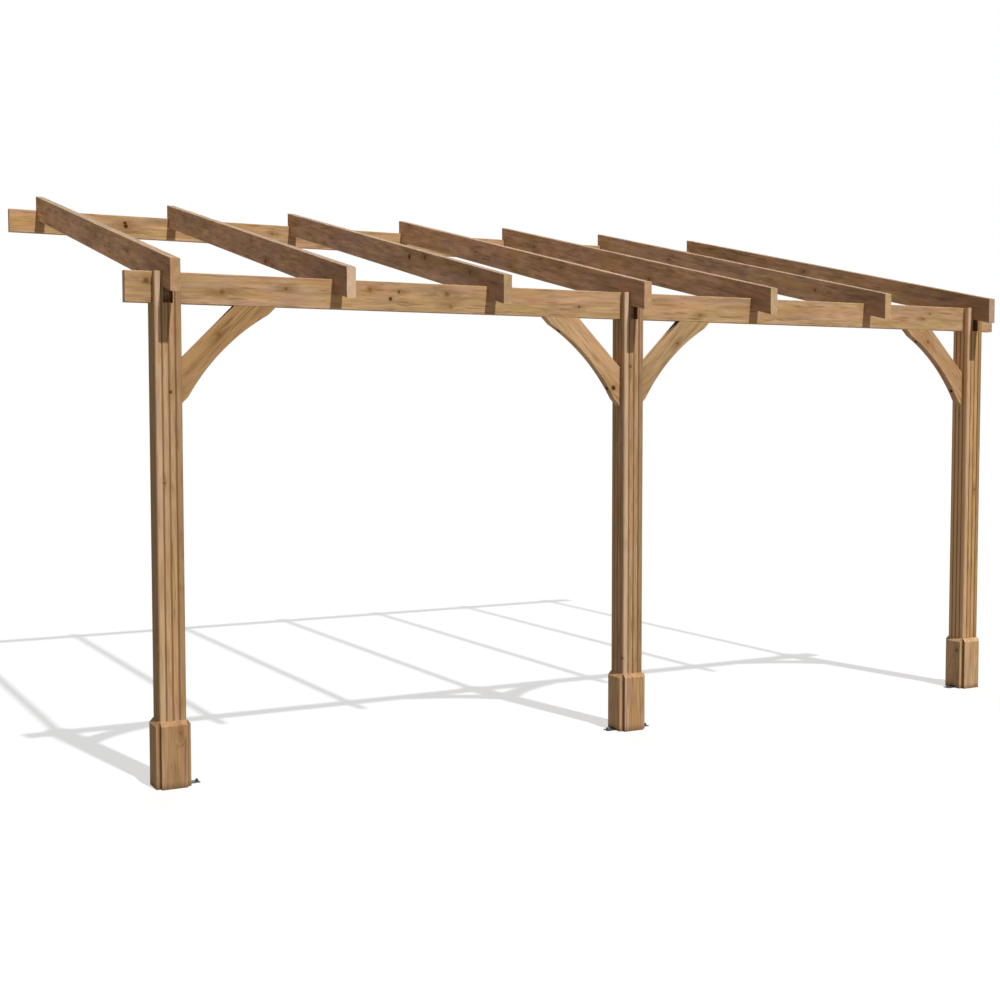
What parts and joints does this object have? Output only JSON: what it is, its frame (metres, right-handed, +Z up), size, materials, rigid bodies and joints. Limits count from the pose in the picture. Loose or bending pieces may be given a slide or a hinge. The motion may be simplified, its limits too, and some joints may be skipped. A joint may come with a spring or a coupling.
{
  "type": "lean-to pergola",
  "caption": "Open timber lean-to pergola: sloping rafters from a wall plate to a front beam on slotted, grooved posts with arched braces and boxed feet.",
  "frame": {"origin": "centre of the wall plate's back face, which lies on the wall", "axes": "+X along the front to the right as seen from the garden, +Y out of the plate's back into the wall, +Z up"},
  "size_m": [5.3, 3.12, 3.0287],
  "materials": {
    "beam_timber": "planed softwood, pressure treated brown",
    "rafter_timber": "planed softwood, pressure treated brown",
    "post_timber": "planed softwood, pressure treated brown",
    "brace_timber": "planed softwood, pressure treated brown",
    "shoe_timber": "planed softwood, pressure treated brown",
    "bracket_steel": "dark zinc coated, dull"
  },
  "bodies": {
    "root": {"wall_plate": "beam_timber", "front_beam": "beam_timber", "rafter_1": "rafter_timber", "rafter_2": "rafter_timber", "rafter_3": "rafter_timber", "rafter_4": "rafter_timber", "rafter_5": "rafter_timber", "rafter_6": "rafter_timber", "rafter_7": "rafter_timber", "left_post": "post_timber", "middle_post": "post_timber", "right_post": "post_timber", "left_post_brace": "brace_timber", "middle_post_left_brace": "brace_timber", "middle_post_right_brace": "brace_timber", "right_post_brace": "brace_timber", "left_post_front_shoe": "shoe_timber", "left_post_back_shoe": "shoe_timber", "left_post_left_shoe": "shoe_timber", "left_post_right_shoe": "shoe_timber", "middle_post_front_shoe": "shoe_timber", "middle_post_back_shoe": "shoe_timber", "middle_post_left_shoe": "shoe_timber", "middle_post_right_shoe": "shoe_timber", "right_post_front_shoe": "shoe_timber", "right_post_back_shoe": "shoe_timber", "right_post_left_shoe": "shoe_timber", "right_post_right_shoe": "shoe_timber", "left_post_bracket": "bracket_steel", "middle_post_left_bracket": "bracket_steel", "middle_post_right_bracket": "bracket_steel", "right_post_bracket": "bracket_steel"}
  },
  "joints": []
}
